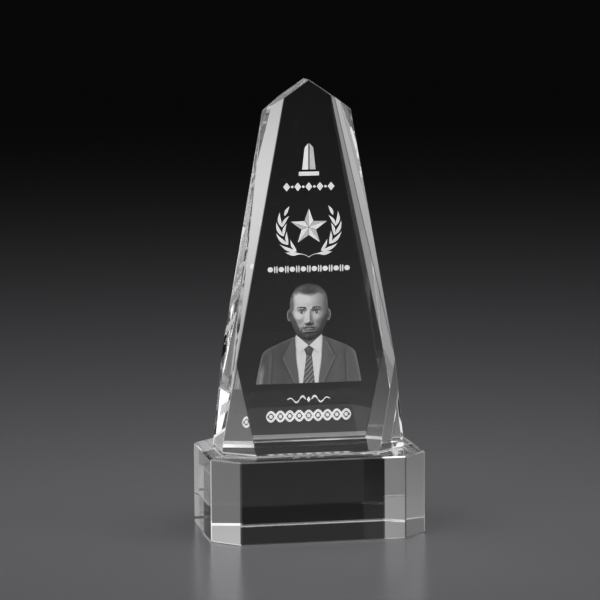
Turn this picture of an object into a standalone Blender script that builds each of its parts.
"""Crystal award: a gabled obelisk of clear crystal bonded to a clipped block of the same crystal.

Metres, +Z up. The front faces -Y. The origin is on the surface that the block stands on, under its centre.
Every solid is a blank that is sawn flat by flat, as crystal is cut, and then has its sharp edges eased.
"""

from itertools import product
from math import acos, tan

import bmesh
import bpy
from mathutils import Matrix, Vector

# The block.
BASE_WIDTH = 0.1143
BASE_DEPTH = 0.0800
BASE_HEIGHT = 0.0436
BASE_CORNER_CLIP = 0.0135
BASE_ARRIS = 0.0010  # width of the narrow flat polished along each edge

# The adhesive film between block and obelisk.
BOND_THICKNESS = 0.00015
BOND_CLEARANCE = 0.0002  # between the film and the crystal above and below it
BOND_MARGIN = 0.0002  # how far the film stops short of the foot's flat underside

# How far the obelisk's foot stands in from the block's edges.
SIDE_REVEAL = 0.0080
FRONT_REVEAL = 0.0132

# The obelisk. Heights are measured from its own foot.
TOWER_HEIGHT = 0.1942
TOWER_ARRIS = 0.0004
FOOT_ARRIS = 0.0012  # the flat round the obelisk's underside
FOOT_CLIP_WIDTH = 0.0163  # each foot corner's clip, measured across the front
FOOT_CLIP_DEPTH = 0.0138  # and measured along the side
WAIST_HEIGHT = 0.0484  # where the foot facets end and the long bevels begin
GABLE_RISE = 0.0162  # from the shoulders, where the sides run out, up to the ridge
SHOULDER_WIDTH = 0.0473
RIDGE_DEPTH = 0.0134
GABLE_FRONT_WIDTH = 0.0267  # the front face's width between its two upper corners

# What the sizes above settle.
FOOT_WIDTH = BASE_WIDTH - 2 * SIDE_REVEAL
FOOT_DEPTH = BASE_DEPTH - 2 * FRONT_REVEAL
BOND_BOTTOM = BASE_HEIGHT + BOND_CLEARANCE
TOWER_BOTTOM = BOND_BOTTOM + BOND_THICKNESS + BOND_CLEARANCE
SHOULDER_HEIGHT = TOWER_HEIGHT - GABLE_RISE
ARRIS_SHARE = 0.85  # of its width, the most that a flat takes off the underside
BOND_INSET = ARRIS_SHARE * FOOT_ARRIS + BOND_MARGIN

SAME_PLANE = 1e-7  # corners this close to a cut count as lying on it


def half_width_at(height):
    """The side's distance from the middle, which shrinks evenly from the foot to the shoulder."""
    shrink = (FOOT_WIDTH - SHOULDER_WIDTH) / SHOULDER_HEIGHT
    return (FOOT_WIDTH - shrink * height) / 2


def half_depth_at(height):
    """The front's distance from the middle, which shrinks evenly from the foot to the ridge."""
    shrink = (FOOT_DEPTH - RIDGE_DEPTH) / TOWER_HEIGHT
    return (FOOT_DEPTH - shrink * height) / 2


def blank(width, depth, height):
    """A block standing on Z = 0, centred on the Z axis."""
    stock = bmesh.new()
    size = Matrix.Diagonal((width, depth, height, 1))
    bmesh.ops.create_cube(stock, size=1, matrix=Matrix.Translation((0, 0, height / 2)) @ size)
    return stock


def saw(stock, point, outward):
    """Cuts the stock flat through a point, and throws away the side that outward points to."""
    everything = stock.verts[:] + stock.edges[:] + stock.faces[:]
    cut = bmesh.ops.bisect_plane(
        stock, geom=everything, dist=SAME_PLANE, plane_co=point, plane_no=outward, clear_outer=True
    )
    rim = [part for part in cut["geom_cut"] if isinstance(part, bmesh.types.BMEdge)]
    if len(rim) > 2:
        bmesh.ops.edgeloop_fill(stock, edges=[edge for edge in rim if edge.is_boundary])


def saw_through(stock, first, second, third):
    """Cuts the stock on the plane of three points, and keeps the side of its middle."""
    outward = (second - first).cross(third - first).normalized()
    middle = sum((vert.co for vert in stock.verts), Vector()) / len(stock.verts)
    if outward.dot(middle - first) > 0:
        outward.negate()
    saw(stock, first, outward)


def ease_edges(stock, flat_width, foot_flat_width):
    """Polishes a narrow flat along every edge, at the same angle to both of its faces.
    The edges round the underside have a width of their own."""
    flats = []
    for edge in stock.edges:
        at_foot = max(vert.co.z for vert in edge.verts) < SAME_PLANE
        width = foot_flat_width if at_foot else flat_width
        first, second = (face.normal.copy() for face in edge.link_faces)
        outward = (first + second).normalized()
        turn = acos(first.dot(second))
        depth = width / 2 * tan(turn / 2)
        flats.append((edge.verts[0].co - outward * depth, outward))
    for point, outward in flats:
        saw(stock, point, outward)


def clipped_block(width, depth, height, clip_width, clip_depth, inset=0.0):
    """A block whose four upright corners are cut off. The inset moves every side inwards."""
    stock = blank(width - 2 * inset, depth - 2 * inset, height)
    for side, end in product((-1, 1), (-1, 1)):
        outward = Vector((side * clip_depth, end * clip_width, 0)).normalized()
        corner = Vector((side * (width / 2 - clip_width), end * depth / 2, 0))
        saw(stock, corner - outward * inset, outward)
    return stock


def obelisk():
    """The tapered blank with its gable, long bevels and foot facets."""
    stock = blank(FOOT_WIDTH, FOOT_DEPTH, TOWER_HEIGHT)
    along = Vector((0, 1, 0))
    across = Vector((1, 0, 0))
    for side in (-1, 1):
        foot = Vector((side * FOOT_WIDTH / 2, 0, 0))
        shoulder = Vector((side * SHOULDER_WIDTH / 2, 0, SHOULDER_HEIGHT))
        ridge = Vector((0, 0, TOWER_HEIGHT))
        saw_through(stock, foot, shoulder, foot + along)
        saw_through(stock, shoulder, ridge, ridge + along)
    for end in (-1, 1):
        foot = Vector((0, end * FOOT_DEPTH / 2, 0))
        ridge = Vector((0, end * RIDGE_DEPTH / 2, TOWER_HEIGHT))
        saw_through(stock, foot, ridge, foot + across)
    for side, end in product((-1, 1), (-1, 1)):
        waist = corner(side * half_width_at(WAIST_HEIGHT), end, WAIST_HEIGHT)
        shoulder = Vector((side * SHOULDER_WIDTH / 2, 0, SHOULDER_HEIGHT))
        gable_corner = corner(side * GABLE_FRONT_WIDTH / 2, end, gable_height_at(GABLE_FRONT_WIDTH / 2))
        saw_through(stock, waist, shoulder, gable_corner)
        front_foot = corner(side * (FOOT_WIDTH / 2 - FOOT_CLIP_WIDTH), end, 0)
        side_foot = Vector((side * FOOT_WIDTH / 2, end * (FOOT_DEPTH / 2 - FOOT_CLIP_DEPTH), 0))
        saw_through(stock, waist, front_foot, side_foot)
    return stock


def corner(x, end, height):
    """A point on the front face (end -1) or the back face (end 1)."""
    return Vector((x, end * half_depth_at(height), height))


def gable_height_at(x):
    """The gable's height above the foot, at a distance x from the middle."""
    fall = GABLE_RISE / (SHOULDER_WIDTH / 2)
    return TOWER_HEIGHT - fall * x


def finish(name, stock, bottom, material):
    """Turns the stock into an object that stands at a height of bottom."""
    mesh = bpy.data.meshes.new(name)
    stock.normal_update()
    stock.to_mesh(mesh)
    stock.free()
    mesh.materials.append(material)
    piece = bpy.data.objects.new(name, mesh)
    piece.location.z = bottom
    bpy.context.scene.collection.objects.link(piece)


def clear_material(name, colour, roughness, index):
    """A clear material: colour, roughness and refractive index."""
    material = bpy.data.materials.new(name)
    material.use_nodes = True
    shader = material.node_tree.nodes["Principled BSDF"]
    shader.inputs["Base Color"].default_value = (*colour, 1)
    shader.inputs["Metallic"].default_value = 0.0
    shader.inputs["Roughness"].default_value = roughness
    shader.inputs["IOR"].default_value = index
    shader.inputs["Transmission Weight"].default_value = 1.0
    return material


def build_base(material):
    stock = clipped_block(BASE_WIDTH, BASE_DEPTH, BASE_HEIGHT, BASE_CORNER_CLIP, BASE_CORNER_CLIP)
    ease_edges(stock, BASE_ARRIS, BASE_ARRIS)
    finish("crystal_base", stock, 0, material)


def build_bond(material):
    stock = clipped_block(
        FOOT_WIDTH, FOOT_DEPTH, BOND_THICKNESS, FOOT_CLIP_WIDTH, FOOT_CLIP_DEPTH, inset=BOND_INSET
    )
    finish("adhesive_bond", stock, BOND_BOTTOM, material)


def build_tower(material):
    stock = obelisk()
    ease_edges(stock, TOWER_ARRIS, FOOT_ARRIS)
    finish("crystal_tower", stock, TOWER_BOTTOM, material)


for old in list(bpy.data.objects):
    bpy.data.objects.remove(old)

crystal = clear_material("clear_crystal", (0.97, 0.98, 0.98), 0.0, 1.52)
adhesive = clear_material("cured_adhesive", (0.95, 0.96, 0.95), 0.15, 1.49)
build_base(crystal)
build_bond(adhesive)
build_tower(crystal)
